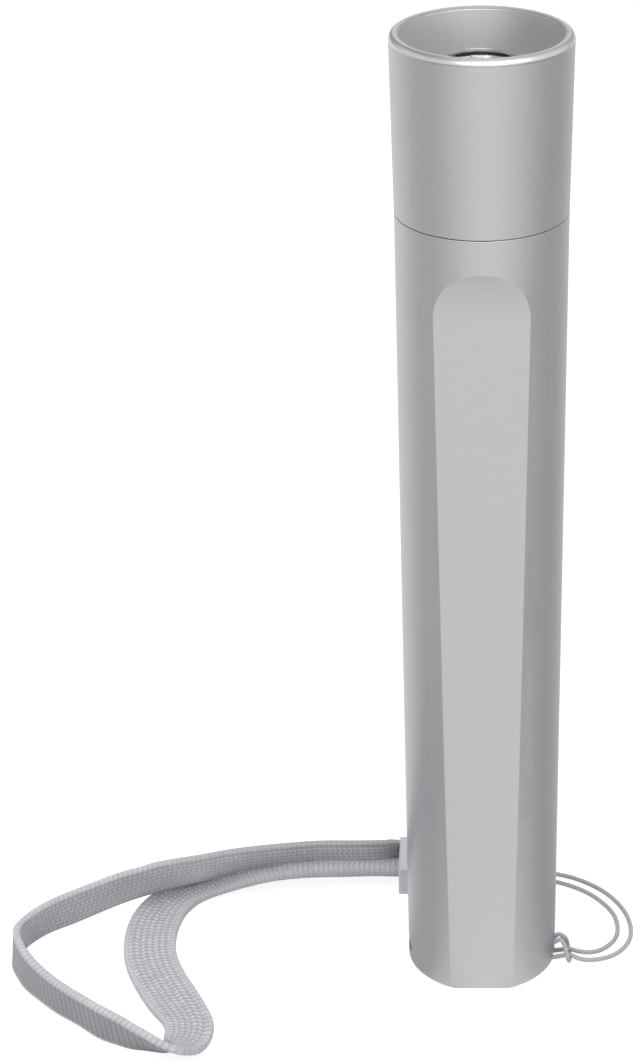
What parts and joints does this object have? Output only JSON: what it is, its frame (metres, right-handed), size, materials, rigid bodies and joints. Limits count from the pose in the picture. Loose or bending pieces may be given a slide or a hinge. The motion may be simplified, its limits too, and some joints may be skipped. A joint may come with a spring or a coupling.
{
  "type": "flashlight",
  "caption": "Aluminium torch with a flat on its tapered grip, a twist head with a recessed lens, and a wrist strap on a thin cord.",
  "frame": {"origin": "middle of the tail face, on the axis, where the torch stands", "axes": "+Z along the torch axis from the tail to the lens; -Y is the side with the flat on the grip; the strap lies on the floor towards -X"},
  "size_m": [0.1105, 0.0636, 0.1692],
  "materials": {
    "blasted_aluminium": "bead-blasted, clear anodised",
    "turned_aluminium": "turned",
    "seal_rubber": "matte",
    "contact_brass": "plated",
    "liner_plastic": "matte",
    "cell_sleeve": "shrink sleeve",
    "cell_steel": "nickel-plated",
    "board_green": "solder mask",
    "board_white": "solder mask",
    "component_black": "moulded",
    "capacitor_tan": "ceramic",
    "wire_red": "insulation",
    "wire_black": "insulation",
    "emitter_ceramic": "ceramic",
    "emitter_silicone": "clear silicone over phosphor",
    "reflector_bright": "metallised",
    "lens_clear": "polished",
    "strap_fabric": "woven nylon",
    "cord_fabric": "braided",
    "clip_plastic": "satin"
  },
  "bodies": {
    "torch_body": {"body_tube": "blasted_aluminium", "neck_seal": "seal_rubber", "tail_contact": "contact_brass", "cell_liner": "liner_plastic", "rear_cell_can": "cell_sleeve", "rear_cell_cap": "cell_steel", "front_cell_can": "cell_sleeve", "front_cell_cap": "cell_steel", "lanyard_cord": "cord_fabric", "strap_clip": "clip_plastic", "wrist_strap": "strap_fabric"},
    "light_engine": {"heat_sink": "turned_aluminium", "key_pin": "cell_steel", "driver_board": "board_green", "driver_chip": "component_black", "driver_coil": "component_black", "capacitor_left": "capacitor_tan", "capacitor_right": "capacitor_tan", "driver_ring": "contact_brass", "contact_spring": "contact_brass", "wire_positive": "wire_red", "wire_negative": "wire_black", "emitter_board": "board_white", "emitter_base": "emitter_ceramic", "emitter_dome": "emitter_silicone", "centring_ring": "board_white", "reflector": "reflector_bright"},
    "twist_head": {"head_shell": "blasted_aluminium", "lens_gasket": "seal_rubber", "lens": "lens_clear", "lens_ring": "turned_aluminium"}
  },
  "joints": [
    {"name": "engine_rise", "type": "slide", "parent": "torch_body", "child": "light_engine", "axis": [0, 0, 1], "range_m": [0, 0.005], "deforming": ["contact_spring"]},
    {"name": "head_turn", "type": "hinge", "parent": "light_engine", "child": "twist_head", "pos_m": [0, 0, 0.1405], "axis": [0, 0, 1], "range_deg": [0, 1440]}
  ],
  "couplings": [
    {"joint": "head_turn", "follows": "engine_rise", "rad_per_m": 5026.5}
  ]
}
